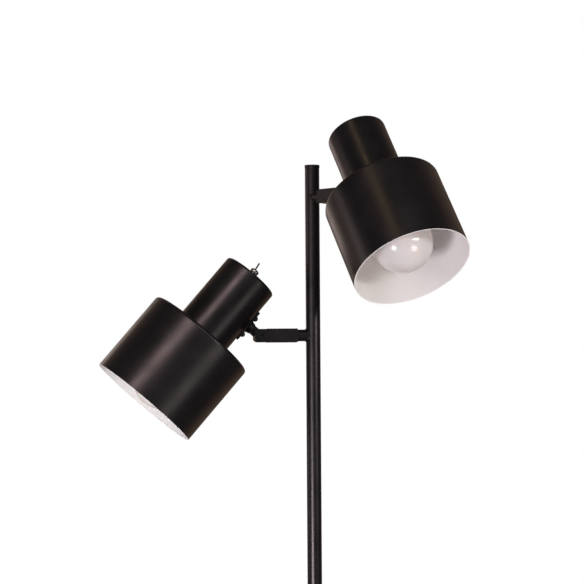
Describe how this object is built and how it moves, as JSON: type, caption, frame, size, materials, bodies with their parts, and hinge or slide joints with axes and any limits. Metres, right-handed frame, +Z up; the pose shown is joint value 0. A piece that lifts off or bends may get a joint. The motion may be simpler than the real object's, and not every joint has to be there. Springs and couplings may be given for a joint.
{
  "type": "two-head floor lamp",
  "caption": "Floor lamp: a slim pole on a round weighted base, with two stepped cylindrical spot heads that swivel, tilt and switch on separate short arms.",
  "frame": {"origin": "centre of the underside of the base, on the floor", "axes": "+Z up along the pole; the heads point to the viewer side (-Y) and to -X at rest"},
  "size_m": [0.3969, 0.3356, 1.5462],
  "materials": {
    "black_paint": "satin black powder paint on steel",
    "shade_paint": "satin black outside, white inside",
    "black_steel": "blackened steel",
    "raw_steel": "bright zinc plated",
    "nickel": "polished nickel plate",
    "brass": "bright",
    "black_plastic": "matte",
    "white_plastic": "satin white",
    "pad": "matte foam rubber",
    "frosted_glass": "frosted white"
  },
  "bodies": {
    "stand": {"floor_pad": "pad", "base_weight": "raw_steel", "base_cover": "black_paint", "base_washer": "raw_steel", "base_nut": "raw_steel", "base_collar": "black_paint", "cord_gland": "black_plastic", "pole_foot": "raw_steel", "pole_lower": "black_paint", "pole_middle": "black_paint", "pole_upper": "black_paint", "coupler_low": "raw_steel", "coupler_high": "raw_steel", "top_plug": "black_paint", "left_neck": "black_paint", "left_journal_nut": "raw_steel", "right_neck": "black_paint", "right_journal_nut": "raw_steel"},
    "left_arm": {"left_sleeve": "black_paint", "left_fork": "black_paint", "left_pivot_screw": "black_steel", "left_pivot_nut": "black_steel"},
    "left_head": {"left_tongue": "black_paint", "left_plate": "black_paint", "left_screw_upper": "black_steel", "left_screw_lower": "black_steel", "left_bracket": "raw_steel", "left_cap": "black_paint", "left_shade": "shade_paint", "left_shade_ring": "white_plastic", "left_holder": "white_plastic", "left_screw_shell": "brass", "left_bulb": "frosted_glass", "left_bulb_base": "nickel", "left_switch_body": "black_plastic", "left_switch_bushing": "nickel", "left_switch_nut": "nickel"},
    "left_switch": {"left_lever": "nickel"},
    "right_arm": {"right_sleeve": "black_paint", "right_fork": "black_paint", "right_pivot_screw": "black_steel", "right_pivot_nut": "black_steel"},
    "right_head": {"right_tongue": "black_paint", "right_plate": "black_paint", "right_screw_upper": "black_steel", "right_screw_lower": "black_steel", "right_bracket": "raw_steel", "right_cap": "black_paint", "right_shade": "shade_paint", "right_shade_ring": "white_plastic", "right_holder": "white_plastic", "right_screw_shell": "brass", "right_bulb": "frosted_glass", "right_bulb_base": "nickel", "right_switch_body": "black_plastic", "right_switch_bushing": "nickel", "right_switch_nut": "nickel"},
    "right_switch": {"right_lever": "nickel"}
  },
  "joints": [
    {"name": "left_turn", "type": "hinge", "parent": "stand", "child": "left_arm", "pos_m": [-0.01773, -0.00313, 1.312], "axis": [-0.9848, -0.1736, 0], "range_deg": [-160, 160]},
    {"name": "left_tilt", "type": "hinge", "parent": "left_arm", "child": "left_head", "pos_m": [-0.05909, -0.01042, 1.312], "axis": [-0.1735, 0.9842, -0.0349], "range_deg": [-50, 30]},
    {"name": "left_toggle", "type": "hinge", "parent": "left_head", "child": "left_switch", "pos_m": [-0.06624, -0.00929, 1.37953], "axis": [-0.1735, 0.9842, -0.0349], "range_deg": [0, 16]},
    {"name": "right_turn", "type": "hinge", "parent": "stand", "child": "right_arm", "pos_m": [0.01071, -0.01447, 1.464], "axis": [0.5948, -0.8039, 0], "range_deg": [-160, 160]},
    {"name": "right_tilt", "type": "hinge", "parent": "right_arm", "child": "right_head", "pos_m": [0.03569, -0.04823, 1.464], "axis": [-0.8019, -0.5934, 0.0698], "range_deg": [-45, 35]},
    {"name": "right_toggle", "type": "hinge", "parent": "right_head", "child": "right_switch", "pos_m": [0.04699, -0.05568, 1.53055], "axis": [-0.8019, -0.5934, 0.0698], "range_deg": [0, 16]}
  ]
}
